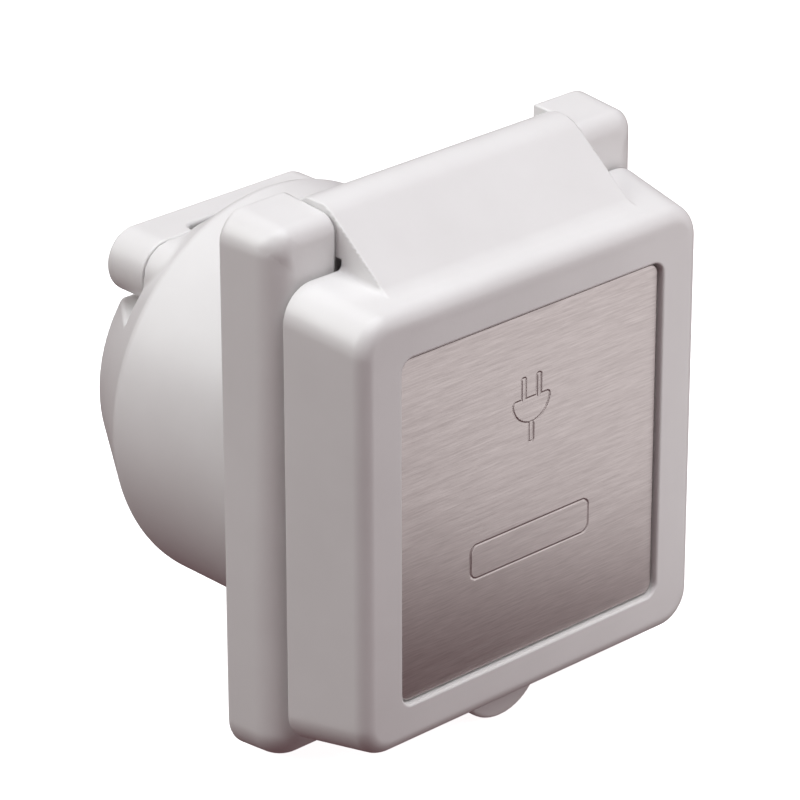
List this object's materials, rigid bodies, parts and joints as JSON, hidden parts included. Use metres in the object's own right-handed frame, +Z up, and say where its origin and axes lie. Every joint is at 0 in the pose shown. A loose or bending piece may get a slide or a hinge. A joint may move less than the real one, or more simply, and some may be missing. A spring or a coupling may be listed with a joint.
{
  "type": "flanged power inlet",
  "caption": "Square flanged power inlet with a top-hinged lid, a curved-blade locking plug well, and a round rear enclosure with a cord clamp.",
  "frame": {"origin": "on the axis of the round rear enclosure, in the plane of the flange's back face, which rests on the panel", "axes": "+Y into the panel, along the enclosure's axis; +Z up, towards the lid's hinge; +X to the right seen from the front"},
  "size_m": [0.0878, 0.0841, 0.1017],
  "materials": {
    "white_plastic": "satin-gloss moulded white polyester",
    "brushed_plate": "stainless sheet brushed from side to side",
    "collar_steel": "machined stainless",
    "carrier_nylon": "matte grey-white nylon",
    "black_rubber": "matte black rubber",
    "screw_steel": "bright stainless",
    "contact_brass": "bright drawn brass",
    "ground_green": "green passivated screw"
  },
  "bodies": {
    "inlet_body": {"front_housing": "white_plastic", "plug_well": "white_plastic", "panel_gasket": "black_rubber", "threaded_collar": "collar_steel", "collar_seal": "black_rubber", "contact_carrier": "carrier_nylon", "carrier_screw_top": "screw_steel", "carrier_screw_bottom": "screw_steel", "rear_enclosure": "white_plastic", "enclosure_screw_left": "screw_steel", "enclosure_screw_right": "screw_steel", "hinge_pin": "screw_steel", "blade_hot": "contact_brass", "blade_neutral": "contact_brass", "blade_ground": "contact_brass", "terminal_lug_hot": "contact_brass", "terminal_lug_neutral": "contact_brass", "terminal_lug_ground": "contact_brass", "terminal_screw_hot": "contact_brass", "terminal_screw_neutral": "screw_steel", "terminal_screw_ground": "ground_green"},
    "cord_clamp": {"cord_clamp_bar": "white_plastic", "clamp_screw_left": "screw_steel", "clamp_screw_right": "screw_steel"},
    "cover": {"lid": "white_plastic", "trim_plate": "brushed_plate", "lid_gasket": "black_rubber"}
  },
  "joints": [
    {"name": "cover_hinge", "type": "hinge", "parent": "inlet_body", "child": "cover", "pos_m": [0, -0.00735, 0.04865], "axis": [-1, 0, 0], "range_deg": [0, 110]},
    {"name": "clamp_slide", "type": "slide", "parent": "inlet_body", "child": "cord_clamp", "axis": [0, 1, 0], "range_m": [0, 0.004]}
  ]
}
